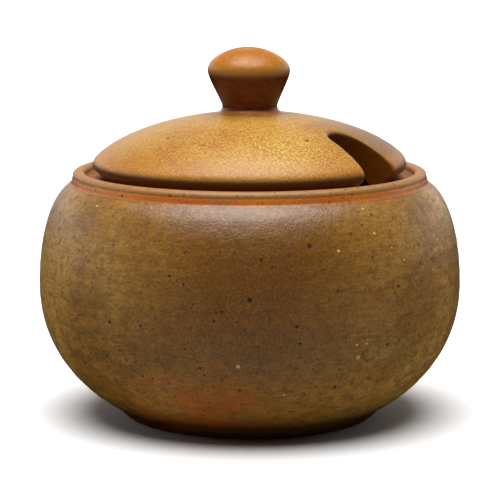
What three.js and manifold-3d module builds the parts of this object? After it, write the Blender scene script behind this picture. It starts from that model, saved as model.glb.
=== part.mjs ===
// A lidded stoneware sugar bowl: a wheel-thrown bowl, a domed lid that drops into a
// gallery inside the bowl's rim, and a knob luted to the top of the lid.
// Millimetres, +Z up. The origin is on the table, under the centre of the foot,
// and the spoon notch in the lid points along +X.

import * as THREE from "three";
import { mergeVertices } from "three/addons/utils/BufferGeometryUtils.js";
import Module from "manifold-3d";

const wasm = await Module();
wasm.setup();

// ---------------------------------------------------------------- driving dimensions
// A handle shapes a curved stretch of an outline: [outward, upward] from the end of the
// stretch that it belongs to.

// Steps round each turned piece, and along each curved stretch of its outline.
const BOWL_SEGMENTS = 64;
const LID_SEGMENTS = 64;
const KNOB_SEGMENTS = 40;
const CURVE_STEPS = 5;
const WELD_DISTANCE = 1e-4;

// Foot ring, trimmed from the bowl's own clay.
const FOOT_INNER_RADIUS = 27.0;
const FOOT_OUTER_RADIUS = 34.9;
const FOOT_TOP_RADIUS = 36.0;
const FOOT_HEIGHT = 3.0;
const FOOT_CHAMFER = 1.4;
const FOOT_RECESS_DEPTH = 2.6;
const FOOT_RECESS_DRAFT = 1.2;

// Belly.
const BELLY_RADIUS = 57.5;
const BELLY_HEIGHT = 36.4;
const UNDERBELLY_HANDLE = [8.8, 2.0];
const BELLY_HANDLE_DOWN = [0, -16.0];
const BELLY_HANDLE_UP = [0, 15.0];

// Shoulder, collar and lip.
const SHOULDER_RADIUS = 48.9;
const SHOULDER_HEIGHT = 63.9;
const SHOULDER_HANDLE = [4.8, -2.8];
const COLLAR_TOP_RADIUS = 48.1;
const COLLAR_HEIGHT = 66.1;
const LIP_TOP_RADIUS = 46.3;
const LIP_HEIGHT = 67.6;
const LIP_FALL = 0.6;
const RIM_INNER_RADIUS = 44.8;
const RIM_DRAFT = 0.2;

// Gallery: the ledge inside the rim that carries the lid.
const LEDGE_HEIGHT = 64.75;
const LEDGE_INNER_RADIUS = 38.4;
const LEDGE_CHAMFER = 0.6;
const LEDGE_THICKNESS = 3.4;
const LEDGE_UNDERCUT = 0.3;
const LEDGE_UNDERSIDE_HANDLE = [8.7, -2.0];

// Inside of the bowl.
const WALL = 4.6;
const FLOOR_HEIGHT = 7.6;
const FLOOR_RADIUS = 20.0;
const FLOOR_HANDLE = [22.0, 0.8];
const INSIDE_HANDLE_DOWN = [0, -18.0];
const INSIDE_HANDLE_UP = [0, 15.0];

// Lid.
const LID_RADIUS = 42.7;
const LID_WIDEST_HEIGHT = 69.1;
const LID_EDGE_RADIUS = 3.1;
const LID_SEAT_OUTER_RADIUS = 39.6;
const LID_SEAT_INNER_RADIUS = 35.4;
const LID_SEAT_CHAMFER = [-1.2, 1.4];
const LID_THICKNESS = 4.6;
const LID_PAD_RADIUS = 8.8;
const LID_PAD_HEIGHT = 82.875;
const DOME_EDGE_HANDLE = [-4.5, 4.5];
const DOME_TOP_HANDLE = [17.8, -1.9];
const HOLLOW_EDGE_HANDLE = [-2.2, 7.0];
const HOLLOW_TOP_HANDLE = [17.0, -0.3];
const SEAT_EDGE_HANDLE = [0.3, 2.0];
const UNDER_EDGE_HANDLE = [0, -1.7];

// Spoon notch: a U in plan that flares a little towards the lid's edge.
const NOTCH_CENTRE = 31.9;
const NOTCH_RADIUS = 5.4;
const NOTCH_FLARE_DEGREES = 8.0;
const NOTCH_ARC_STEPS = 9;
const NOTCH_OUTER_END = 50.0;
const NOTCH_BOTTOM = 60.0;
const NOTCH_TOP = 90.0;

// Knob.
const KNOB_BASE_RADIUS = 8.6;
const KNOB_BASE_FILLET = 0.3;
const KNOB_NECK_RADIUS = 7.3;
const KNOB_NECK_HEIGHT = 85.3;
const KNOB_RADIUS = 11.1;
const KNOB_WIDEST_HEIGHT = 94.7;
const KNOB_TOP_HEIGHT = 101.0;
const KNOB_NECK_HANDLE = [0.1, 1.0];
const KNOB_FLANK_HANDLE = [-0.1, -2.0];
const KNOB_EDGE_HANDLE = [0, 2.6];
const KNOB_TOP_HANDLE = [6.5, 0];

// ---------------------------------------------------------------- helpers

// Draws a curved stretch of an outline between two (radius, height) points.
function curveBetween(outline, start, startHandle, end, endHandle) {
  outline.bezierCurveTo(
    start[0] + startHandle[0], start[1] + startHandle[1],
    end[0] + endHandle[0], end[1] + endHandle[1],
    end[0], end[1],
  );
}

// A turned solid. Its outline runs from the axis at the bottom, round the outside and
// back to the axis.
function turned(outline, segments) {
  const geometry = new THREE.LatheGeometry(outline.getPoints(CURVE_STEPS), segments);
  geometry.rotateX(Math.PI / 2);
  return welded(geometry);
}

function welded(geometry) {
  geometry.deleteAttribute("normal");
  geometry.deleteAttribute("uv");
  return mergeVertices(geometry, WELD_DISTANCE);
}

function toSolid(geometry) {
  const mesh = new wasm.Mesh({
    numProp: 3,
    vertProperties: Float32Array.from(geometry.attributes.position.array),
    triVerts: Uint32Array.from(geometry.index.array),
  });
  return new wasm.Manifold(mesh);
}

function toGeometry(solid) {
  const mesh = solid.getMesh();
  const geometry = new THREE.BufferGeometry();
  geometry.setAttribute("position", new THREE.BufferAttribute(mesh.vertProperties, 3));
  geometry.setIndex(new THREE.BufferAttribute(mesh.triVerts, 1));
  return geometry;
}

function piece(name, geometry, glaze) {
  geometry.computeVertexNormals();
  const mesh = new THREE.Mesh(geometry, new THREE.MeshStandardMaterial(glaze));
  mesh.name = name;
  return mesh;
}

// ---------------------------------------------------------------- bowl

// A squat round belly on a low foot, closing to a crease, a short upright collar and
// a rounded lip. Inside, the gallery ledge stands in from the wall under the rim.
function bowl() {
  const footTop = [FOOT_TOP_RADIUS, FOOT_HEIGHT];
  const belly = [BELLY_RADIUS, BELLY_HEIGHT];
  const shoulder = [SHOULDER_RADIUS, SHOULDER_HEIGHT];
  const ledgeUnderside = [
    LEDGE_INNER_RADIUS + LEDGE_UNDERCUT,
    LEDGE_HEIGHT - LEDGE_THICKNESS,
  ];
  const inside = [BELLY_RADIUS - WALL, BELLY_HEIGHT];
  const floor = [FLOOR_RADIUS, FLOOR_HEIGHT];
  const outline = new THREE.Path();

  // Underside and foot ring.
  outline.moveTo(0, FOOT_RECESS_DEPTH);
  outline.lineTo(FOOT_INNER_RADIUS - FOOT_RECESS_DRAFT, FOOT_RECESS_DEPTH);
  outline.lineTo(FOOT_INNER_RADIUS, 0);
  outline.lineTo(FOOT_OUTER_RADIUS - FOOT_CHAMFER, 0);
  outline.lineTo(FOOT_OUTER_RADIUS, FOOT_CHAMFER);
  outline.lineTo(...footTop);

  // Belly, out to its widest line and in again to the crease.
  curveBetween(outline, footTop, UNDERBELLY_HANDLE, belly, BELLY_HANDLE_DOWN);
  curveBetween(outline, belly, BELLY_HANDLE_UP, shoulder, SHOULDER_HANDLE);

  // Collar and rounded lip.
  outline.lineTo(COLLAR_TOP_RADIUS, COLLAR_HEIGHT);
  outline.quadraticCurveTo(COLLAR_TOP_RADIUS, LIP_HEIGHT, LIP_TOP_RADIUS, LIP_HEIGHT);
  outline.lineTo(RIM_INNER_RADIUS, LIP_HEIGHT - LIP_FALL);

  // Gallery.
  outline.lineTo(RIM_INNER_RADIUS - RIM_DRAFT, LEDGE_HEIGHT);
  outline.lineTo(LEDGE_INNER_RADIUS + LEDGE_CHAMFER, LEDGE_HEIGHT);
  outline.lineTo(LEDGE_INNER_RADIUS, LEDGE_HEIGHT - LEDGE_CHAMFER);
  outline.lineTo(...ledgeUnderside);

  // Inside of the wall, down to the floor.
  curveBetween(
    outline, ledgeUnderside, LEDGE_UNDERSIDE_HANDLE, inside, INSIDE_HANDLE_UP,
  );
  curveBetween(outline, inside, INSIDE_HANDLE_DOWN, floor, FLOOR_HANDLE);
  outline.lineTo(0, FLOOR_HEIGHT);

  const glaze = { color: 0x7a5426, roughness: 0.38, metalness: 0 };
  return piece("bowl", turned(outline, BOWL_SEGMENTS), glaze);
}

// ---------------------------------------------------------------- lid

// A shallow hollow dome with a thick rounded edge. Its flat seat rests on the ledge,
// and a flat pad on top carries the knob.
function lidDome() {
  const edgeCentre = LID_RADIUS - LID_EDGE_RADIUS;
  const edgeDiagonal = LID_EDGE_RADIUS * Math.SQRT1_2;
  const domeEdge = [edgeCentre + edgeDiagonal, LID_WIDEST_HEIGHT + edgeDiagonal];
  const pad = [LID_PAD_RADIUS, LID_PAD_HEIGHT];
  const widest = [LID_RADIUS, LID_WIDEST_HEIGHT];
  const seatEdge = [LID_SEAT_OUTER_RADIUS, LEDGE_HEIGHT];
  const hollowTop = [0, LID_PAD_HEIGHT - LID_THICKNESS];
  const hollowEdge = [
    LID_SEAT_INNER_RADIUS + LID_SEAT_CHAMFER[0],
    LEDGE_HEIGHT + LID_SEAT_CHAMFER[1],
  ];
  const outline = new THREE.Path();

  // Hollow underside, out to the seat.
  outline.moveTo(...hollowTop);
  curveBetween(outline, hollowTop, HOLLOW_TOP_HANDLE, hollowEdge, HOLLOW_EDGE_HANDLE);
  outline.lineTo(LID_SEAT_INNER_RADIUS, LEDGE_HEIGHT);
  outline.lineTo(...seatEdge);

  // Rounded edge, undercut above the seat.
  curveBetween(outline, seatEdge, SEAT_EDGE_HANDLE, widest, UNDER_EDGE_HANDLE);
  outline.absarc(edgeCentre, LID_WIDEST_HEIGHT, LID_EDGE_RADIUS, 0, Math.PI / 4, false);

  // Dome and pad.
  curveBetween(outline, domeEdge, DOME_EDGE_HANDLE, pad, DOME_TOP_HANDLE);
  outline.lineTo(0, LID_PAD_HEIGHT);
  return turned(outline, LID_SEGMENTS);
}

function notchCutter() {
  const flare = THREE.MathUtils.degToRad(NOTCH_FLARE_DEGREES);
  const tangentX = NOTCH_CENTRE - NOTCH_RADIUS * Math.sin(flare);
  const tangentY = NOTCH_RADIUS * Math.cos(flare);
  const outerY = tangentY + (NOTCH_OUTER_END - tangentX) * Math.tan(flare);
  const arcStart = Math.PI / 2 + flare;
  const arcEnd = (3 * Math.PI) / 2 - flare;
  const plan = new THREE.Shape();
  plan.moveTo(NOTCH_OUTER_END, -outerY);
  plan.lineTo(NOTCH_OUTER_END, outerY);
  plan.lineTo(tangentX, tangentY);
  plan.absarc(NOTCH_CENTRE, 0, NOTCH_RADIUS, arcStart, arcEnd, false);
  const geometry = new THREE.ExtrudeGeometry(plan, {
    depth: NOTCH_TOP - NOTCH_BOTTOM,
    bevelEnabled: false,
    curveSegments: NOTCH_ARC_STEPS,
  });
  geometry.translate(0, 0, NOTCH_BOTTOM);
  return welded(geometry);
}

function lid() {
  const solid = toSolid(lidDome()).subtract(toSolid(notchCutter()));
  const glaze = { color: 0xc98f45, roughness: 0.45, metalness: 0 };
  return piece("lid", toGeometry(solid), glaze);
}

// ---------------------------------------------------------------- knob

// An upturned cone with a waist at the lid, a rounded edge and a low domed top.
function knob() {
  const neck = [KNOB_NECK_RADIUS, KNOB_NECK_HEIGHT];
  const edge = [KNOB_RADIUS, KNOB_WIDEST_HEIGHT];
  const top = [0, KNOB_TOP_HEIGHT];
  const outline = new THREE.Path();
  outline.moveTo(0, LID_PAD_HEIGHT);
  outline.lineTo(KNOB_BASE_RADIUS, LID_PAD_HEIGHT);
  outline.quadraticCurveTo(KNOB_NECK_RADIUS, LID_PAD_HEIGHT + KNOB_BASE_FILLET, ...neck);
  curveBetween(outline, neck, KNOB_NECK_HANDLE, edge, KNOB_FLANK_HANDLE);
  curveBetween(outline, edge, KNOB_EDGE_HANDLE, top, KNOB_TOP_HANDLE);
  const glaze = { color: 0x7a3d14, roughness: 0.35, metalness: 0 };
  return piece("knob", turned(outline, KNOB_SEGMENTS), glaze);
}

// ---------------------------------------------------------------- assembly

const lidAndKnob = new THREE.Group();
lidAndKnob.name = "lid_and_knob";
lidAndKnob.add(lid(), knob());

const sugarBowl = new THREE.Group();
sugarBowl.name = "sugar_bowl";
sugarBowl.add(bowl(), lidAndKnob);

export default sugarBowl;
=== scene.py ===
"""The looks of a lidded stoneware sugar bowl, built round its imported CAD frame."""
import math

import bpy
import numpy as np
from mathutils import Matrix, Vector


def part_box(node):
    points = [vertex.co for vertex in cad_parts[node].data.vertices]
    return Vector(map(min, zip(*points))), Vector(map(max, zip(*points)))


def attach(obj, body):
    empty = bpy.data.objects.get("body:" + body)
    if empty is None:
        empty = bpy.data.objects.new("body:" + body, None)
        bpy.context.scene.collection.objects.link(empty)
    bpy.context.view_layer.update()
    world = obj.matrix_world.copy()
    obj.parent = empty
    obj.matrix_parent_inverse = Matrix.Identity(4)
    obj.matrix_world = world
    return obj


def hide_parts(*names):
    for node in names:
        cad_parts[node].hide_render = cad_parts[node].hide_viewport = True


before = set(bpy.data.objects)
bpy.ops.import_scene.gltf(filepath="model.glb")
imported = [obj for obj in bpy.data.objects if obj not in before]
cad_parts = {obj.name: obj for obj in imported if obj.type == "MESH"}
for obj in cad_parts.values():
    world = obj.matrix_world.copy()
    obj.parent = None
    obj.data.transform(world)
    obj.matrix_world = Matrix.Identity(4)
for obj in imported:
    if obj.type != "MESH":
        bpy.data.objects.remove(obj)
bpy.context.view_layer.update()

# Shapes are worked out in millimetres and turned into metres when a mesh is made.
MM = 0.001

# Sizes that come from the frame.
BELLY_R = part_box("bowl")[1].x / MM
LIP_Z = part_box("bowl")[1].z / MM
LID_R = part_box("lid")[1].y / MM
SEAT_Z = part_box("lid")[0].z / MM
PAD_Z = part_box("knob")[0].z / MM
KNOB_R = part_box("knob")[1].x / MM
KNOB_TOP_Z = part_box("knob")[1].z / MM

# The side of the pot that the camera looks at. The spoon notch points along +X.
VIEW_AZIMUTH = 35.5
VIEW_ELEVATION = 9.09
FRONT_ANGLE = VIEW_AZIMUTH - 90.0


# ------------------------------------------------------------------ shapes

class Outline:
    """The outline of a turned piece: (radius, height) points, and how much the throwing
    rings show at each."""

    def __init__(self, start):
        self.points = [np.array(start, float)]
        self.rings = [0.0]

    def _add(self, points, rings):
        self.points.extend(points)
        self.rings.extend([rings] * len(points))
        return self

    def line(self, end, rings=0.0):
        t = np.linspace(0, 1, 12)[1:, None]
        return self._add(self.points[-1] * (1 - t) + np.array(end) * t, rings)

    def curve(self, start_handle, end_handle, end, rings=0.0):
        """A Bezier stretch. The handles are steps from its own two ends."""
        t = np.linspace(0, 1, 60)[1:, None]
        a, d = self.points[-1], np.array(end, float)
        b, c = a + np.array(start_handle), d + np.array(end_handle)
        bend = a * (1 - t) ** 3 + 3 * b * t * (1 - t) ** 2 + 3 * c * t * t * (1 - t) + d * t ** 3
        return self._add(bend, rings)

    def arc(self, centre, radius, start_degrees, end_degrees, rings=0.0):
        a = np.radians(np.linspace(start_degrees, end_degrees, 24))
        ring = np.array(centre) + radius * np.stack([np.cos(a), np.sin(a)], 1)
        return self._add(ring, rings)

    def even(self, spacing, softness):
        """Evenly spaced points with every corner softened, as under a coat of glaze."""
        p, w = np.array(self.points), np.array(self.rings)
        along = np.r_[0, np.cumsum(np.hypot(*np.diff(p, axis=0).T))]
        keep = np.r_[True, np.diff(along) > 1e-6]
        p, w, along = p[keep], w[keep], along[keep]
        s = np.linspace(0, along[-1], int(along[-1] / spacing) + 1)
        rows = np.stack([np.interp(s, along, v) for v in (p[:, 0], p[:, 1], w)], 1)
        reach = max(1, int(round(3 * softness / spacing)))
        kernel = np.exp(-0.5 * (np.arange(-reach, reach + 1) * spacing / softness) ** 2)
        kernel /= kernel.sum()
        padded = np.concatenate([
            2 * rows[:1] - rows[reach:0:-1], rows, 2 * rows[-1:] - rows[-2:-reach - 2:-1],
        ])
        soft = np.stack([np.convolve(padded[:, i], kernel, "valid") for i in range(3)], 1)
        soft[0], soft[-1] = rows[0], rows[-1]
        return soft


def mesh_object(name, points, faces):
    mesh = bpy.data.meshes.new(name)
    mesh.from_pydata((np.asarray(points) * MM).tolist(), [], faces)
    mesh.validate()
    mesh.shade_smooth()
    piece = bpy.data.objects.new(name, mesh)
    bpy.context.scene.collection.objects.link(piece)
    return piece


def turned(name, rows, segments, wobble, sideways=lambda z: (0.0 * z, 0.0 * z)):
    """A turned piece from an outline that starts and ends on the axis. wobble gives the
    outward shift of each point, from its angle, its height and its ring weight. sideways
    gives the axis's own shift at each height."""
    p = rows[:, :2]
    along = np.gradient(p, axis=0)
    normal = np.stack([along[:, 1], -along[:, 0]], 1)
    normal /= np.linalg.norm(normal, axis=1)[:, None] + 1e-9
    angle = np.linspace(0, 2 * np.pi, segments, endpoint=False)[None, :]
    inner = slice(1, len(p) - 1)
    shift = wobble(angle, p[inner, 1][:, None], rows[inner, 2][:, None])
    r = p[inner, 0][:, None] + normal[inner, 0][:, None] * shift
    z = p[inner, 1][:, None] + normal[inner, 1][:, None] * shift
    x_shift, y_shift = sideways(z)
    grid = np.stack([r * np.cos(angle) + x_shift, r * np.sin(angle) + y_shift, z + 0 * angle], 2)
    ends = [[*sideways(p[i, 1]), p[i, 1]] for i in (0, -1)]
    points = np.concatenate([grid.reshape(-1, 3), ends])
    count = len(p) - 2
    index = np.arange(count * segments).reshape(count, segments)
    turn = np.roll(index, -1, axis=1)
    quads = np.stack([index[:-1], turn[:-1], turn[1:], index[1:]], -1).reshape(-1, 4)
    first, last = count * segments, count * segments + 1
    faces = quads.tolist()
    faces += [[first, int(b), int(a)] for a, b in zip(index[0], turn[0])]
    faces += [[last, int(a), int(b)] for a, b in zip(index[-1], turn[-1])]
    return mesh_object(name, points, faces)


def throwing_rings(angle, z, pitch, drift):
    """The spiral that fingers leave: one turn of angle is one pitch of height."""
    phase = 2 * np.pi * z / pitch - angle
    return np.sin(phase + drift * np.sin(2 * angle + z / 9.0)) * (0.6 + 0.4 * np.sin(z / 5.3))


# ------------------------------------------------------------------ bowl

FOOT_R = 33.5
FOOT_IN_R = 27.0
FOOT_RECESS_Z = 2.6
FOOT_BEVEL = (35.0, 1.2)
FOOT_TOP = (36.8, 3.1)
BELLY_Z = 36.4
CREASE = (48.9, 63.9)
GROOVE = (48.0, 66.0)
LIP_TOP_R = 46.3
RIM_IN_R = 44.8
LEDGE_IN_R = 38.4
WALL = 4.6
INSIDE_FLOOR_R = 20.0
INSIDE_FLOOR_Z = 7.6


def bowl_outline():
    o = Outline((0, FOOT_RECESS_Z))
    o.line((FOOT_IN_R - 1.4, FOOT_RECESS_Z)).line((FOOT_IN_R - 0.2, 0.0)).line((FOOT_R, 0.0))
    o.line(FOOT_BEVEL).line(FOOT_TOP)
    o.curve((5.2, 2.7), (0, -20.5), (BELLY_R - 0.05, BELLY_Z), rings=1.0)
    o.curve((0, 15.0), (4.8, -2.8), CREASE, rings=1.0)
    o.line((CREASE[0] - 0.35, CREASE[1] + 0.25)).line((GROOVE[0] + 0.3, GROOVE[1] - 0.35))
    o.line(GROOVE).line((GROOVE[0] + 0.15, GROOVE[1] + 0.3))
    o.curve((0.1, 0.8), (1.0, 0.0), (LIP_TOP_R, LIP_Z - 0.05))
    o.curve((-0.9, 0.0), (0.0, 0.6), (RIM_IN_R, LIP_Z - 1.15))
    o.line((RIM_IN_R - 0.15, SEAT_Z + 0.7)).line((RIM_IN_R - 0.9, SEAT_Z))
    o.line((LEDGE_IN_R + 0.9, SEAT_Z)).line((LEDGE_IN_R, SEAT_Z - 0.8))
    o.line((LEDGE_IN_R + 0.2, SEAT_Z - 3.0))
    o.curve((8.8, -2.4), (0, 15.0), (BELLY_R - WALL, BELLY_Z), rings=1.6)
    o.curve((0, -18.0), (22.0, 0.8), (INSIDE_FLOOR_R, INSIDE_FLOOR_Z), rings=1.6)
    o.line((0, INSIDE_FLOOR_Z))
    return o.even(spacing=0.4, softness=0.28)


def wall_radius(height):
    """Radius of the bowl's outside at a height."""
    rows = bowl_outline()
    outside = rows[np.argmin(rows[:, 1]):np.argmax(rows[:, 1]) + 1]
    return float(np.interp(height, outside[:, 1], outside[:, 0]))


def bowl_wobble(angle, z, rings):
    height = np.clip(z / BELLY_Z, 0, 1)
    out_of_round = 0.09 * np.sin(2 * angle + 0.8 + z / 60) + 0.05 * np.sin(3 * angle - 1.0)
    ripple = 0.028 * throwing_rings(angle, z, 4.3, 0.5)
    return rings * (out_of_round * height + ripple)


def make_bowl():
    bowl = turned("bowl_body", bowl_outline(), 288, bowl_wobble)
    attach(bowl, "bowl")
    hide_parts("bowl")
    return bowl


# ------------------------------------------------------------------ lid

LID_EDGE_Z = 69.1
LID_EDGE_R = 3.1
PAD_R = 8.8
LID_HOLLOW_Z = PAD_Z - 4.6
LID_HOLLOW_EDGE = (34.2, SEAT_Z + 1.4)
LID_SEAT_IN_R = 35.4
LID_SEAT_OUT_R = 39.6
NOTCH_X = 31.9
NOTCH_R = 5.4
NOTCH_FLARE = math.radians(8.0)
NOTCH_ROUND_TOP = 0.75
NOTCH_ROUND_UNDER = 0.5
# How much the lid's top rises for each millimetre to the camera's right.
LID_TILT = 0.006
# Spacing of the grid that the lid's surface is found in.
LID_CELL = 0.4


def lid_outline():
    o = Outline((0, LID_HOLLOW_Z))
    o.curve((17.0, -0.3), (-2.2, 7.0), LID_HOLLOW_EDGE)
    o.line((LID_SEAT_IN_R, SEAT_Z)).line((LID_SEAT_OUT_R, SEAT_Z))
    o.curve((0.3, 2.0), (0, -1.7), (LID_R, LID_EDGE_Z))
    o.arc((LID_R - LID_EDGE_R, LID_EDGE_Z), LID_EDGE_R, 0, 45)
    o.curve((-4.5, 4.5), (17.8, -1.9), (PAD_R, PAD_Z))
    o.line((0, PAD_Z))
    return o.even(spacing=0.3, softness=0.3)[:, :2]


def dome_height(radius):
    """Height of the lid's top at a radius."""
    rows = lid_outline()
    top = rows[np.argmax(rows[:, 0]):][::-1]
    return float(np.interp(radius, top[:, 0], top[:, 1]))


def outline_distance(rows, r, z):
    """Signed distance from points (r, z) to a closed outline, negative inside it."""
    p = np.stack([r.ravel(), z.ravel()], 1)
    best = np.full(len(p), 1e9)
    inside = np.zeros(len(p), bool)
    for a, b in zip(rows, np.roll(rows, -1, axis=0)):
        ab = b - a
        on_axis = a[0] < 1e-6 and b[0] < 1e-6
        if not on_axis:
            t = np.clip(((p - a) @ ab) / max(ab @ ab, 1e-12), 0, 1)
            best = np.minimum(best, ((p - a - t[:, None] * ab) ** 2).sum(1))
        crosses = (a[1] > p[:, 1]) != (b[1] > p[:, 1])
        if crosses.any():
            x = a[0] + (p[:, 1] - a[1]) * ab[0] / (ab[1] if ab[1] else 1e-12)
            inside ^= crosses & (p[:, 0] < x)
    return (np.sqrt(best) * np.where(inside, -1, 1)).reshape(r.shape)


class LidShape:
    """The lid as a signed distance: its turned shell, with the spoon notch cut out and
    every edge of the cut rounded over."""

    TABLE_STEP = 0.12

    def __init__(self):
        rows = lid_outline()
        self.low_z = SEAT_Z - 2.0
        self.r = np.arange(0, LID_R + 3.0, self.TABLE_STEP)
        self.z = np.arange(self.low_z, PAD_Z + 3.0, self.TABLE_STEP)
        self.table = outline_distance(rows, *np.meshgrid(self.r, self.z, indexing="ij"))

    def shell(self, r, z):
        i = np.clip(r / self.TABLE_STEP, 0, len(self.r) - 1.001)
        j = np.clip((z - self.low_z) / self.TABLE_STEP, 0, len(self.z) - 1.001)
        a, b = i.astype(int), j.astype(int)
        u, v = i - a, j - b
        t = self.table
        low = t[a, b] * (1 - u) + t[a + 1, b] * u
        high = t[a, b + 1] * (1 - u) + t[a + 1, b + 1] * u
        return low * (1 - v) + high * v

    def __call__(self, x, y, z):
        r, angle = np.hypot(x, y), np.arctan2(y, x)
        top = np.clip((z - LID_EDGE_Z) / 3.0, 0, 1)
        aside = x * math.cos(math.radians(VIEW_AZIMUTH)) + y * math.sin(math.radians(VIEW_AZIMUTH))
        z = z - LID_TILT * aside * top
        ripple = 0.02 * throwing_rings(angle, r, 3.4, 0.4) * top * np.clip(r / 20, 0, 1)
        shell = self.shell(r + 0.06 * np.sin(2 * angle + 0.5), z) - ripple
        side = y + 0.18 * np.sin(x / 2.7)
        u = (x - NOTCH_X) * math.cos(NOTCH_FLARE) + np.abs(side) * math.sin(NOTCH_FLARE)
        v = np.abs(side) * math.cos(NOTCH_FLARE) - (x - NOTCH_X) * math.sin(NOTCH_FLARE)
        notch = NOTCH_R - np.where(u > 0, v, np.hypot(x - NOTCH_X, side))
        under = np.clip((LID_EDGE_Z + (LID_R - r) * 0.35 - z) / 2.0 + 0.5, 0, 1)
        edge = NOTCH_ROUND_TOP * (1 - under) + NOTCH_ROUND_UNDER * under
        rounded = np.hypot(np.maximum(shell + edge, 0), np.maximum(notch + edge, 0))
        return np.minimum(-edge, np.maximum(shell, notch)) + rounded

    def gradient(self, p, step=0.05):
        slope = np.empty_like(p)
        for i in range(3):
            d = np.zeros(3)
            d[i] = step
            slope[:, i] = self(*(p + d).T) - self(*(p - d).T)
        return slope / (2 * step)


def surface_net(shape, low, high, cell):
    """Quads over the zero surface of a signed distance: one point in each grid cell that
    the surface passes through, moved onto the surface."""
    axes = [np.arange(a, b + cell, cell) for a, b in zip(low, high)]
    field = shape(*np.meshgrid(*axes, indexing="ij"))
    inside = field < 0
    size = np.array(field.shape) - 1
    total, count = np.zeros((*size, 3)), np.zeros(size)
    corners = [(0, 0), (0, 1), (1, 0), (1, 1)]
    for axis in range(3):
        others = [i for i in range(3) if i != axis]
        for offset in corners:
            start, end = [0, 0, 0], [0, 0, 0]
            end[axis] = 1
            for i, o in zip(others, offset):
                start[i] = end[i] = o
            a = field[tuple(slice(s, s + n) for s, n in zip(start, size))]
            b = field[tuple(slice(s, s + n) for s, n in zip(end, size))]
            cut = (a < 0) != (b < 0)
            t = np.where(cut, a / np.where(cut, a - b, 1), 0)
            place = np.zeros((*size, 3)) + np.array(start)
            place[..., axis] += t
            total += place * cut[..., None]
            count += cut
    used = count > 0
    number = np.full(size, -1)
    number[used] = np.arange(used.sum())
    cells = np.argwhere(used)
    points = np.array(low) + (cells + total[used] / count[used][:, None]) * cell
    for _ in range(4):
        slope = shape.gradient(points)
        steep = np.maximum((slope ** 2).sum(1), 0.25)
        points -= slope * (shape(*points.T) / steep)[:, None]
    quads = []
    for axis in range(3):
        b, c = [(1, 2), (2, 0), (0, 1)][axis]
        along = [slice(None)] * 3
        along[axis] = slice(0, -1)
        ahead = [slice(None)] * 3
        ahead[axis] = slice(1, None)
        now, then = inside[tuple(along)], inside[tuple(ahead)]
        for flips, order in ((now & ~then, 1), (then & ~now, -1)):
            at = np.argwhere(flips)
            at = at[(at[:, b] > 0) & (at[:, c] > 0) & (at[:, b] < size[b]) & (at[:, c] < size[c])]
            ring = []
            for db, dc in ((0, 0), (-1, 0), (-1, -1), (0, -1))[::order]:
                near = at.copy()
                near[:, b] += db
                near[:, c] += dc
                ring.append(number[tuple(near.T)])
            quads.append(np.stack(ring, 1))
    return points, np.concatenate(quads)


def make_lid():
    shape = LidShape()
    reach = LID_R + 1.0
    points, quads = surface_net(
        shape, (-reach, -reach, SEAT_Z - 1.0), (reach, reach, PAD_Z + 1.0), LID_CELL,
    )
    lid = mesh_object("lid_dome", points, quads.tolist())
    # "cut" is 1 on the notch's wall, from 1.2 mm under the lid's skin. "under" is 0 where the
    # surface faces up, and about 1 where it is upright or faces down; the lid's material paints
    # shade with it.
    shell = shape.shell(np.hypot(points[:, 0], points[:, 1]), points[:, 2])
    cut = lid.data.attributes.new("cut", "FLOAT", "POINT")
    cut.data.foreach_set("value", np.clip(-shell / 1.2, 0, 1).astype(np.float32))
    under = lid.data.attributes.new("under", "FLOAT", "POINT")
    facing_down = np.clip(0.9 - 2 * shape.gradient(points)[:, 2], 0, 1)
    under.data.foreach_set("value", facing_down.astype(np.float32))
    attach(lid, "lid")
    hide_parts("lid")
    return lid


# ------------------------------------------------------------------ knob

SKIRT_R = 9.9
NECK_R = 7.4
NECK_Z = 84.9
KNOB_EDGE_Z = 94.5
KNOB_BROW = (9.4, 97.6)
# How far the knob shifts to the camera's left for each millimetre of height.
KNOB_LEAN = 0.026
KNOB_UPRIGHT_Z = 88.0


def knob_outline():
    o = Outline((0, PAD_Z - 0.5))
    o.line((SKIRT_R - 1.2, PAD_Z - 0.5)).line((SKIRT_R, PAD_Z - 0.18))
    o.curve((-1.6, 0.25), (0, -1.0), (NECK_R, NECK_Z))
    o.curve((0.15, 1.6), (0, -2.2), (KNOB_R, KNOB_EDGE_Z), rings=1.0)
    o.curve((0, 1.1), (1.1, -0.9), KNOB_BROW)
    o.curve((-2.2, 1.75), (4.0, 0.0), (0, KNOB_TOP_Z - 0.25))
    return o.even(spacing=0.15, softness=0.22)


def knob_wobble(angle, z, rings):
    pinched = 0.08 * np.sin(2 * angle + 0.4) + 0.04 * np.sin(5 * angle + 1.0)
    ripple = 0.02 * rings * throwing_rings(angle, z, 1.7, 0.8)
    return pinched * np.clip((z - PAD_Z) / 4, 0, 1) + ripple


def knob_axis(z):
    """The knob leans a little to the camera's left."""
    left = math.radians(VIEW_AZIMUTH + 180)
    shift = KNOB_LEAN * (z - KNOB_UPRIGHT_Z)
    return shift * math.cos(left), shift * math.sin(left)


def make_knob():
    knob = turned("lid_knob", knob_outline(), 128, knob_wobble, knob_axis)
    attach(knob, "lid")
    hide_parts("knob")
    return knob


# ------------------------------------------------------------------ materials

def linear(r, g, b):
    """A colour given in 0 to 255 screen values, as linear light."""
    def channel(c):
        c /= 255
        return c / 12.92 if c <= 0.04045 else ((c + 0.055) / 1.055) ** 2.4
    return (channel(r), channel(g), channel(b), 1.0)


def round_pot(degrees_right, radius, height):
    """A point by its angle to the right of the pot's front."""
    a = math.radians(FRONT_ANGLE + degrees_right)
    return (radius * math.cos(a), radius * math.sin(a), height)


def on_bowl(degrees_right, height):
    return round_pot(degrees_right, wall_radius(height), height)


def on_lid(degrees_right, radius):
    return round_pot(degrees_right, radius, dome_height(radius))


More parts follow.
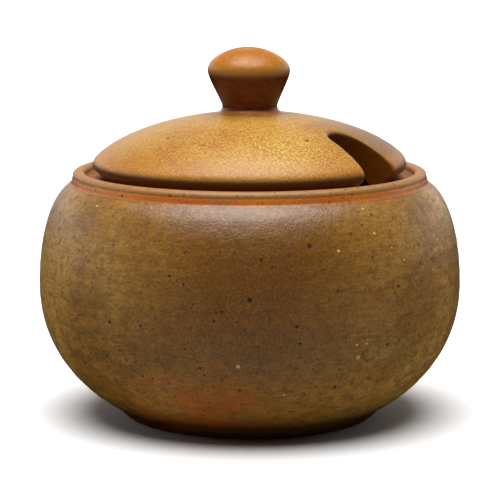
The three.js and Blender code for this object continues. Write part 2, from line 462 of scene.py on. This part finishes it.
class Surface:
    """A material made by short calls. Its patterns are solid, in millimetres, and stay
    with the piece when it moves."""

    def __init__(self, name):
        self.material = bpy.data.materials.new(name)
        self.material.use_nodes = True
        self.tree = self.material.node_tree
        self.tree.nodes.clear()
        self.shader = self.add("ShaderNodeBsdfPrincipled")
        out = self.add("ShaderNodeOutputMaterial")
        self.tree.links.new(self.shader.outputs["BSDF"], out.inputs["Surface"])
        coordinates = self.add("ShaderNodeTexCoord")
        scaled = self.add("ShaderNodeVectorMath", operation="SCALE")
        self.tree.links.new(coordinates.outputs["Object"], scaled.inputs[0])
        scaled.inputs["Scale"].default_value = 1 / MM
        self.place = scaled.outputs["Vector"]
        parts = self.add("ShaderNodeSeparateXYZ")
        self.tree.links.new(self.place, parts.inputs[0])
        x, y, self.z = parts.outputs
        squares = self.math("ADD", self.product(x, x), self.product(y, y))
        self.radius = self.math("SQRT", squares)

    def add(self, kind, **settings):
        node = self.tree.nodes.new(kind)
        for key, value in settings.items():
            setattr(node, key, value)
        return node

    def attribute(self, name):
        return self.add("ShaderNodeAttribute", attribute_name=name).outputs["Fac"]

    def feed(self, socket, value):
        if isinstance(value, bpy.types.NodeSocket):
            self.tree.links.new(value, socket)
        else:
            socket.default_value = value

    def math(self, operation, a, b=0.0):
        node = self.add("ShaderNodeMath", operation=operation)
        for socket, value in zip(node.inputs, (a, b)):
            self.feed(socket, value)
        return node.outputs[0]

    def product(self, *factors):
        result = factors[0]
        for factor in factors[1:]:
            result = self.math("MULTIPLY", result, factor)
        return result

    def stretched(self, stretch, shift=0.0):
        node = self.add("ShaderNodeMapping")
        self.feed(node.inputs["Vector"], self.place)
        node.inputs["Scale"].default_value = stretch
        node.inputs["Location"].default_value = (shift, 2 * shift, -shift)
        return node.outputs[0]

    def noise(self, size, detail=2.0, roughness=0.5, stretch=(1, 1, 1), shift=0.0):
        node = self.add("ShaderNodeTexNoise")
        self.feed(node.inputs["Vector"], self.stretched(stretch, shift))
        node.inputs["Scale"].default_value = 1 / size
        node.inputs["Detail"].default_value = detail
        node.inputs["Roughness"].default_value = roughness
        return node.outputs["Fac"]

    def ramp(self, value, low, high, to_low=0.0, to_high=1.0):
        node = self.add("ShaderNodeMapRange", interpolation_type="SMOOTHSTEP")
        for socket, number in zip(node.inputs, (value, low, high, to_low, to_high)):
            self.feed(socket, number)
        return node.outputs[0]

    def band(self, value, low, high, soft):
        rise = self.ramp(value, low - soft, low + soft)
        fall = self.ramp(value, high - soft, high + soft, 1.0, 0.0)
        return self.math("MULTIPLY", rise, fall)

    def mix(self, factor, a, b):
        node = self.add("ShaderNodeMix", data_type="RGBA")
        self.feed(node.inputs["Factor"], factor)
        self.feed(node.inputs[6], a)
        self.feed(node.inputs[7], b)
        return node.outputs[2]

    def specks(self, spacing, biggest, share, shift=0.0, soft=0.08):
        """Round specks scattered through the clay: about one in each spacing, of all sizes
        up to biggest, keeping only a share of them. 1 inside a speck and 0 outside."""
        node = self.add("ShaderNodeTexVoronoi", feature="F1", distance="EUCLIDEAN")
        self.feed(node.inputs["Vector"], self.stretched((1, 1, 1), shift))
        node.inputs["Scale"].default_value = 1 / spacing
        chance = self.add("ShaderNodeSeparateColor")
        self.feed(chance.inputs[0], node.outputs["Color"])
        kept = self.math("LESS_THAN", chance.outputs[0], share)
        size = self.product(chance.outputs[1], chance.outputs[1], biggest)
        away = self.math("MULTIPLY", node.outputs["Distance"], spacing)
        inside = self.ramp(self.math("SUBTRACT", away, size), -soft, soft, 1.0, 0.0)
        return self.math("MULTIPLY", inside, kept)

    def spots(self, places, soft=0.2):
        """Specks at known places, each with its own radius."""
        nearest = None
        for place, size in places:
            node = self.add("ShaderNodeVectorMath", operation="DISTANCE")
            self.feed(node.inputs[0], self.place)
            node.inputs[1].default_value = place
            away = self.math("SUBTRACT", node.outputs["Value"], size)
            nearest = away if nearest is None else self.math("MINIMUM", nearest, away)
        return self.ramp(nearest, -soft, soft, 1.0, 0.0)

    def patch(self, place, reach):
        """A soft round patch: 1 in its middle and 0 beyond its reach."""
        node = self.add("ShaderNodeVectorMath", operation="DISTANCE")
        self.feed(node.inputs[0], self.place)
        node.inputs[1].default_value = place
        return self.ramp(node.outputs["Value"], 0.0, reach, 1.0, 0.0)

    def finish(self, colour, roughness, height, gloss):
        """Wires the shader. height is in millimetres."""
        self.feed(self.shader.inputs["Base Color"], colour)
        self.feed(self.shader.inputs["Roughness"], roughness)
        self.shader.inputs["Specular IOR Level"].default_value = gloss
        bump = self.add("ShaderNodeBump")
        bump.inputs["Strength"].default_value = 1.0
        bump.inputs["Distance"].default_value = MM
        self.feed(bump.inputs["Height"], height)
        self.feed(self.shader.inputs["Normal"], bump.outputs["Normal"])
        return self.material


OLIVE = linear(180, 138, 60)
OLIVE_DARK = linear(130, 91, 20)
OCHRE = linear(176, 120, 24)
UMBER = linear(104, 60, 2)
STREAK_BROWN = linear(88, 55, 12)
# Painted shade colour, for the bowl towards its foot and for the lid's downward faces.
PAINTED_SHADE_BROWN = linear(92, 52, 8)
RUST = linear(172, 80, 22)
ORANGE = linear(188, 106, 20)
COLLAR_RUST = linear(176, 88, 18)
TAN = linear(152, 106, 44)
PINK_BUFF = linear(180, 116, 62)
SLATE = linear(42, 34, 30)
IRON_SPECK = linear(54, 34, 20)
RUST_SPECK = linear(84, 46, 16)
YELLOW_SPECK = linear(236, 186, 96)
BARE_CLAY = linear(132, 92, 58)
GOLD = linear(176, 124, 44)
GOLD_DEEP = linear(164, 100, 26)
CRYSTAL = linear(208, 176, 92)
CRYSTAL_SHADE = linear(126, 86, 28)
KNOB_TOP = linear(170, 98, 22)
KNOB_CONE = linear(74, 24, 0)
KNOB_CONE_RED = linear(108, 42, 4)
CUT_BROWN = linear(104, 54, 2)


def grain(s, size, depth):
    """Fine tooth of the satin surface, in millimetres."""
    fine = s.noise(size, detail=3.0, roughness=0.6)
    broad = s.noise(size * 5, detail=2.0, shift=3.0)
    return s.math("ADD", s.math("MULTIPLY", fine, depth), s.math("MULTIPLY", broad, depth * 2.0))


# Specks that stand out in the belly's glaze: degrees right of the front, height, radius.
# In the bowl's three lists the degrees and heights were worked out by another program,
# from points read off the photo.
DARK_SPECKS = [
    (0, 41.5, 0.62), (16, 54.5, 0.58), (23, 43, 0.34), (42, 42.5, 0.46), (52, 52, 0.38),
    (37, 61, 0.36), (3, 51.5, 0.42), (34, 50.5, 0.3), (57, 47.5, 0.32), (25, 17, 0.46),
    (39, 27.5, 0.34), (12, 34.5, 0.42), (13, 30, 0.36), (-7, 38.5, 0.36), (-64, 51, 0.42),
    (-44, 47, 0.32), (-46, 40.5, 0.36), (-21, 47, 0.36), (-17, 45, 0.32), (-43, 65, 0.34),
    (-39, 33.5, 0.42), (-54, 20, 0.38), (-29, 33.5, 0.36), (-42, 24, 0.36), (-9, 36, 0.36),
]
YELLOW_SPECKS = [
    (35, 62.5, 0.28), (36, 56.5, 0.3), (24, 53, 0.34), (62, 52, 0.26), (45, 49, 0.26),
    (41, 52.5, 0.22), (29, 28.5, 0.26), (32, 28.5, 0.24), (-3, 24, 0.44), (30, 25, 0.44),
    (10, 15.5, 0.28), (-51, 62, 0.3),
]
# Two of the yellow ones are burst bubbles, with a dark middle.
BUBBLE_MIDDLES = [(-3, 24, 0.16), (30, 25, 0.2)]
# Specks on the lid: degrees right of the front, distance from the axis, radius.
LID_SPECKS = [(30, 30, 0.5), (-47, 29.5, 0.42)]

# Soft patches of another colour or of painted shade: the middle, placed as the specks on its piece
# are, and the reach from it.
# Painted shade: the belly's front, which faces the camera, is browned.
PAINTED_FRONT_SHADE, PAINTED_FRONT_SHADE_REACH = (2, 43), 70.0
BLUSH, BLUSH_REACH = (-16, 6), 28.0
CRYSTAL_FIELD, CRYSTAL_FIELD_REACH = (16, 33), 27.0
LID_DARKER_RIGHT, LID_DARKER_RIGHT_REACH = (82, 36), 32.0
# Painted shade at the inner end of the notch's wall: a point (x, y, z), and the reach from it.
NOTCH_SHADE, NOTCH_SHADE_REACH = (NOTCH_X - NOTCH_R, 0.0, PAD_Z - 4.0), 18.0


def belly_glaze(s, cloud, drift, mottle, fleck):
    """Olive iron glaze with a rust blush low on the front. It is browned with painted shade on the
    front, which faces the camera, and towards the foot.
    """
    streak = s.noise(0.9, detail=4.0, roughness=0.7, stretch=(0.22, 0.22, 1.3), shift=5.0)
    # Painted shade: a soft umber patch on the belly's front, which faces the camera.
    front_shade = s.patch(on_bowl(*PAINTED_FRONT_SHADE), PAINTED_FRONT_SHADE_REACH)
    colour = s.mix(s.ramp(cloud, 0.38, 0.62), OLIVE_DARK, OLIVE)
    colour = s.mix(s.ramp(drift, 0.42, 0.68, 0.0, 0.6), colour, OCHRE)
    colour = s.mix(s.product(front_shade, 0.95), colour, UMBER)
    colour = s.mix(s.ramp(mottle, 0.42, 0.66, 0.0, 0.5), colour, UMBER)
    colour = s.mix(s.ramp(streak, 0.42, 0.62, 0.0, 0.4), colour, STREAK_BROWN)
    colour = s.mix(s.ramp(fleck, 0.5, 0.66, 0.0, 0.26), colour, OCHRE)
    colour = s.mix(s.ramp(fleck, 0.36, 0.46, 0.7, 0.0), colour, STREAK_BROWN)
    blush = s.product(s.patch(on_bowl(*BLUSH), BLUSH_REACH), s.ramp(drift, 0.3, 0.6))
    colour = s.mix(s.product(blush, 0.75), colour, RUST)
    # Darker towards the foot: mostly painted shade, partly a browner glaze there.
    low = s.product(s.ramp(s.z, 1.5, 9.0, 1.0, 0.0), s.ramp(s.radius, 30.0, 33.0))
    return s.mix(s.product(low, 0.85), colour, PAINTED_SHADE_BROWN)


def rim_glaze(s, colour, above_groove, cloud, mottle, fleck):
    """Orange flashing on the collar, where the glaze breaks thin, a tan lip, and painted shade in
    the crease and the groove.
    """
    outside = s.ramp(s.radius, RIM_IN_R - 0.6, RIM_IN_R + 0.2)
    flash = s.mix(s.ramp(cloud, 0.36, 0.6), COLLAR_RUST, ORANGE)
    flash = s.mix(s.ramp(mottle, 0.48, 0.66, 0.0, 0.6), flash, TAN)
    flash = s.mix(s.ramp(fleck, 0.36, 0.48, 0.4, 0.0), flash, UMBER)
    collar = s.band(s.z, CREASE[1] + 0.1, GROOVE[1], 0.25)
    colour = s.mix(s.product(collar, outside), colour, flash)
    lip = s.mix(s.ramp(mottle, 0.4, 0.6, 0.0, 0.4), TAN, PINK_BUFF)
    lip = s.mix(s.ramp(fleck, 0.38, 0.54, 0.35, 0.0), lip, OLIVE_DARK)
    colour = s.mix(s.product(above_groove, outside, 0.9), colour, lip)
    # Painted shade: dark lines in the crease under the collar and in the groove under the lip.
    crease = s.band(s.z, CREASE[1] - 0.1, CREASE[1] + 0.1, 0.2)
    groove = s.band(s.z, GROOVE[1] - 0.05, GROOVE[1] + 0.15, 0.2)
    crease_groove_shade = s.math("MAXIMUM", crease, groove)
    return s.mix(s.product(crease_groove_shade, outside, 0.6), colour, UMBER)


def unglazed(s):
    """1 on the bare clay, where the pot stands and where the lid sits, and 0 elsewhere."""
    foot = s.product(s.ramp(s.z, 0.4, 0.9, 1.0, 0.0), s.ramp(s.radius, 34.0, 35.0, 1.0, 0.0))
    recess = s.product(s.ramp(s.z, 3.0, 3.4, 1.0, 0.0), s.ramp(s.radius, 31.0, 32.0, 1.0, 0.0))
    seat = s.band(s.z, SEAT_Z - 0.7, SEAT_Z + 0.5, 0.25)
    ledge = s.product(seat, s.ramp(s.radius, RIM_IN_R - 0.4, RIM_IN_R + 0.1, 1.0, 0.0))
    return s.math("MAXIMUM", s.math("MAXIMUM", foot, recess), ledge)


def bowl_material():
    s = Surface("bowl_glaze")
    cloud = s.noise(30.0, detail=3.0, roughness=0.55)
    drift = s.noise(10.0, detail=3.0, roughness=0.6, stretch=(1, 1, 2.2), shift=7.0)
    mottle = s.noise(2.4, detail=4.0, roughness=0.65, shift=2.0)
    fleck = s.noise(0.55, detail=3.0, roughness=0.7, shift=17.0)
    above_groove = s.ramp(s.z, GROOVE[1] - 0.1, GROOVE[1] + 0.4)
    bare = unglazed(s)
    colour = belly_glaze(s, cloud, drift, mottle, fleck)
    colour = rim_glaze(s, colour, above_groove, cloud, mottle, fleck)
    clay = s.mix(s.ramp(mottle, 0.35, 0.65), BARE_CLAY, RUST)
    colour = s.mix(bare, colour, clay)

    # Iron specks from faint to black, then the yellow feldspar ones.
    faint = s.specks(1.3, 0.5, 0.5, shift=23.0, soft=0.18)
    colour = s.mix(s.product(faint, 0.7), colour, RUST_SPECK)
    large = s.specks(6.0, 0.6, 0.3, soft=0.14)
    small = s.specks(2.4, 0.45, 0.5, shift=11.0, soft=0.14)
    scattered = s.math("MAXIMUM", large, small)
    colour = s.mix(s.product(scattered, 0.85), colour, IRON_SPECK)
    known = s.spots([(on_bowl(a, h), size) for a, h, size in DARK_SPECKS])
    colour = s.mix(s.product(known, 0.95), colour, SLATE)
    known_yellow = s.spots([(on_bowl(a, h), size) for a, h, size in YELLOW_SPECKS], soft=0.16)
    yellow = s.math("MAXIMUM", s.specks(6.5, 0.4, 0.2, shift=41.0), known_yellow)
    colour = s.mix(s.product(yellow, 0.8), colour, YELLOW_SPECK)
    burst = s.spots([(on_bowl(a, h), size) for a, h, size in BUBBLE_MIDDLES], soft=0.12)
    colour = s.mix(burst, colour, RUST_SPECK)

    dull = s.math("MAXIMUM", s.product(bare, 0.35), s.product(above_groove, 0.14))
    roughness = s.math("ADD", s.ramp(mottle, 0.3, 0.7, 0.33, 0.43), dull)
    pits = s.product(s.math("MAXIMUM", scattered, known), 0.04)
    height = s.math("SUBTRACT", grain(s, 0.6, 0.1), pits)
    return s.finish(colour, roughness, height, gloss=0.6)


def lid_material():
    s = Surface("lid_glaze")
    cloud = s.noise(18.0, detail=3.0, roughness=0.55, shift=1.0)
    mottle = s.noise(2.0, detail=4.0, roughness=0.7, shift=4.0)
    crystal = s.noise(0.5, detail=3.0, roughness=0.65, shift=9.0)
    fleck = s.noise(0.55, detail=2.0, roughness=0.6, shift=19.0)

    colour = s.mix(s.ramp(cloud, 0.38, 0.62), GOLD, GOLD_DEEP)
    colour = s.mix(s.ramp(mottle, 0.48, 0.68, 0.0, 0.5), colour, GOLD_DEEP)
    right = s.patch(on_lid(*CRYSTAL_FIELD), CRYSTAL_FIELD_REACH)
    field = s.math("MAXIMUM", right, s.ramp(s.radius, 34.0, 39.0, 0.45, 0.1))
    grains = s.product(s.ramp(crystal, 0.5, 0.57), field)
    colour = s.mix(s.product(grains, 0.85), colour, CRYSTAL)
    colour = s.mix(s.ramp(crystal, 0.36, 0.46, 0.6, 0.0), colour, CRYSTAL_SHADE)
    colour = s.mix(s.ramp(fleck, 0.52, 0.62, 0.0, 0.45), colour, CRYSTAL)
    # Darker towards the lid's right end.
    darker_right = s.patch(on_lid(*LID_DARKER_RIGHT), LID_DARKER_RIGHT_REACH)
    colour = s.mix(s.product(darker_right, 0.9), colour, UMBER)

    # Pinker over the rounded edge, partly where the glaze thins and partly painted highlight;
    # painted shade below it; brown in the cut.
    edge = s.band(s.radius, 39.5, 44.0, 1.5)
    colour = s.mix(s.product(edge, 0.3), colour, PINK_BUFF)
    # Painted shade on the faces that point sideways or down.
    colour = s.mix(s.attribute("under"), colour, PAINTED_SHADE_BROWN)
    wall = s.mix(s.ramp(mottle, 0.4, 0.6), CUT_BROWN, UMBER)
    # Painted shade: the wall's inner end is darkened to the knob cone's brown.
    wall = s.mix(s.patch(NOTCH_SHADE, NOTCH_SHADE_REACH), wall, KNOB_CONE)
    colour = s.mix(s.attribute("cut"), colour, wall)
    seat = s.ramp(s.z, SEAT_Z + 0.3, SEAT_Z + 0.8, 1.0, 0.0)
    colour = s.mix(seat, colour, BARE_CLAY)

    large = s.specks(7.0, 0.5, 0.2, shift=3.0)
    small = s.specks(2.6, 0.34, 0.3, shift=14.0)
    colour = s.mix(s.product(s.math("MAXIMUM", large, small), 0.8), colour, RUST_SPECK)
    known = s.spots([(on_lid(a, r), size) for a, r, size in LID_SPECKS])
    colour = s.mix(known, colour, IRON_SPECK)
    roughness = s.math("ADD", s.ramp(crystal, 0.3, 0.7, 0.32, 0.42), s.product(seat, 0.3))
    return s.finish(colour, roughness, grain(s, 0.6, 0.08), gloss=0.28)


def knob_material():
    s = Surface("knob_glaze")
    cloud = s.noise(5.0, detail=3.0, roughness=0.6)
    streak = s.noise(1.6, detail=3.0, roughness=0.6, stretch=(0.6, 0.6, 1.0))
    fleck = s.noise(0.8, detail=3.0, roughness=0.6, shift=21.0)
    cone = s.mix(s.ramp(streak, 0.3, 0.7, 0.0, 0.7), KNOB_CONE, KNOB_CONE_RED)
    top = s.mix(s.ramp(cloud, 0.42, 0.62), KNOB_TOP, GOLD_DEEP)
    top = s.mix(s.ramp(fleck, 0.42, 0.66, 0.0, 0.7), top, GOLD)
    colour = s.mix(s.ramp(s.z, KNOB_EDGE_Z - 1.4, KNOB_EDGE_Z + 1.6), cone, top)
    edge = s.band(s.z, KNOB_EDGE_Z - 0.9, KNOB_EDGE_Z + 1.4, 0.9)
    colour = s.mix(s.product(edge, 0.7), colour, TAN)
    joint = s.ramp(s.z, PAD_Z + 0.5, PAD_Z + 1.6, 1.0, 0.0)
    slip = s.mix(s.ramp(cloud, 0.4, 0.6), GOLD_DEEP, PINK_BUFF)
    colour = s.mix(joint, colour, slip)
    dark = s.specks(2.6, 0.34, 0.3, shift=6.0)
    colour = s.mix(s.product(dark, 0.6), colour, RUST_SPECK)
    roughness = s.ramp(streak, 0.3, 0.7, 0.28, 0.38)
    return s.finish(colour, roughness, grain(s, 0.45, 0.03), gloss=0.3)


# ------------------------------------------------------------------ stage

FLOOR_SIZE = 12.0
FLOOR_SEEN = 0.9
FLOOR_BOUNCE = 0.6
SOFT_BOX_TURN = -20
SOFT_BOX_ELEVATION = 83
SOFT_BOX_STRENGTH = 5.0
SOFT_BOX_SPREAD = 58
SKY_SEEN = 1.05
SKY_STRENGTH = 1.5
SKY_DARK_TURN = 8


def mixed_by_camera_ray(tree, seen, otherwise, out):
    """Sends one shader to the camera and another to everything else."""
    path = tree.nodes.new("ShaderNodeLightPath")
    mix = tree.nodes.new("ShaderNodeMixShader")
    tree.links.new(path.outputs["Is Camera Ray"], mix.inputs["Fac"])
    tree.links.new(otherwise.outputs[0], mix.inputs[1])
    tree.links.new(seen.outputs[0], mix.inputs[2])
    tree.links.new(mix.outputs["Shader"], out.inputs["Surface"])


def grey_diffuse(tree, grey):
    node = tree.nodes.new("ShaderNodeBsdfDiffuse")
    node.inputs["Color"].default_value = (grey, grey, grey, 1.0)
    return node


def make_floor():
    """A pale floor that gives the pot less bounced light than the camera sees on it, and
    that leaves no reflection in the glaze."""
    half = FLOOR_SIZE / 2 / MM
    corners = [(-half, -half, 0), (half, -half, 0), (half, half, 0), (-half, half, 0)]
    floor = mesh_object("floor", corners, [(0, 1, 2, 3)])
    material = bpy.data.materials.new("floor_white")
    material.use_nodes = True
    tree = material.node_tree
    tree.nodes.clear()
    out = tree.nodes.new("ShaderNodeOutputMaterial")
    seen = grey_diffuse(tree, FLOOR_SEEN)
    mixed_by_camera_ray(tree, seen, grey_diffuse(tree, FLOOR_BOUNCE), out)
    floor.visible_glossy = False
    floor.data.materials.append(material)


def facing(azimuth, elevation):
    """Unit vector from the pot towards a place round it."""
    a, e = math.radians(azimuth), math.radians(elevation)
    return Vector((math.sin(a) * math.cos(e), -math.cos(a) * math.cos(e), math.sin(e)))


def make_sun(name, azimuth, elevation, strength, spread):
    sun = bpy.data.lights.new(name, "SUN")
    sun.energy = strength
    sun.angle = math.radians(spread)
    lamp = bpy.data.objects.new(name, sun)
    lamp.rotation_mode = "QUATERNION"
    lamp.rotation_quaternion = facing(azimuth, elevation).to_track_quat("Z", "Y")
    bpy.context.scene.collection.objects.link(lamp)


def map_range(tree, value, from_range, to_range, interpolation):
    node = tree.nodes.new("ShaderNodeMapRange")
    node.interpolation_type = interpolation
    node.inputs["From Min"].default_value, node.inputs["From Max"].default_value = from_range
    node.inputs["To Min"].default_value, node.inputs["To Max"].default_value = to_range
    tree.links.new(value, node.inputs["Value"])
    return node.outputs["Result"]


def make_world():
    """White to the eye all round. As a light it is a pale wall behind the pot, fainter at
    its sides and overhead, and dark on the camera's side and below the floor."""
    world = bpy.data.worlds.new("studio")
    bpy.context.scene.world = world
    world.use_nodes = True
    tree = world.node_tree
    tree.nodes.clear()
    out = tree.nodes.new("ShaderNodeOutputWorld")
    seen = tree.nodes.new("ShaderNodeBackground")
    seen.inputs["Strength"].default_value = SKY_SEEN
    seen.inputs["Color"].default_value = (1, 1, 1, 1)
    lit = tree.nodes.new("ShaderNodeBackground")
    coordinates = tree.nodes.new("ShaderNodeTexCoord")
    dot = tree.nodes.new("ShaderNodeVectorMath")
    dot.operation = "DOT_PRODUCT"
    dot.inputs[1].default_value = facing(VIEW_AZIMUTH + SKY_DARK_TURN, 0)
    tree.links.new(coordinates.outputs["Generated"], dot.inputs[0])
    towards_camera = dot.outputs["Value"]
    parts = tree.nodes.new("ShaderNodeSeparateXYZ")
    tree.links.new(coordinates.outputs["Generated"], parts.inputs[0])
    up = parts.outputs["Z"]
    strength = map_range(
        tree, towards_camera, (-0.45, 0.35), (SKY_STRENGTH, 0.0), "SMOOTHSTEP",
    )
    above_floor = map_range(tree, up, (-0.05, 0.1), (0.0, 1.0), "LINEAR")
    below_top = map_range(tree, up, (0.2, 0.6), (1.0, 0.1), "SMOOTHSTEP")
    for share in (above_floor, below_top):
        product = tree.nodes.new("ShaderNodeMath")
        product.operation = "MULTIPLY"
        tree.links.new(strength, product.inputs[0])
        tree.links.new(share, product.inputs[1])
        strength = product.outputs[0]
    tree.links.new(strength, lit.inputs["Strength"])
    mixed_by_camera_ray(tree, seen, lit, out)


CAMERA_DISTANCE = 0.685
CAMERA_LENS = 180.0
CAMERA_AIM_Z = 0.04514
CAMERA_ASIDE = 0.00011


def make_camera():
    data = bpy.data.cameras.new("camera")
    data.sensor_width = 36.0
    data.lens = CAMERA_LENS
    camera = bpy.data.objects.new("camera", data)
    back = facing(VIEW_AZIMUTH, VIEW_ELEVATION)
    right = facing(VIEW_AZIMUTH + 90, 0)
    camera.location = Vector((0, 0, CAMERA_AIM_Z)) + right * CAMERA_ASIDE + back * CAMERA_DISTANCE
    camera.rotation_mode = "QUATERNION"
    camera.rotation_quaternion = back.to_track_quat("Z", "Y")
    bpy.context.scene.collection.objects.link(camera)
    bpy.context.scene.camera = camera


# ------------------------------------------------------------------ the scene

make_camera()
make_floor()
make_world()
make_sun(
    "soft_box", VIEW_AZIMUTH + SOFT_BOX_TURN, SOFT_BOX_ELEVATION, SOFT_BOX_STRENGTH,
    SOFT_BOX_SPREAD,
)
bpy.context.scene.view_settings.view_transform = "Standard"

make_bowl().data.materials.append(bowl_material())
make_lid().data.materials.append(lid_material())
make_knob().data.materials.append(knob_material())
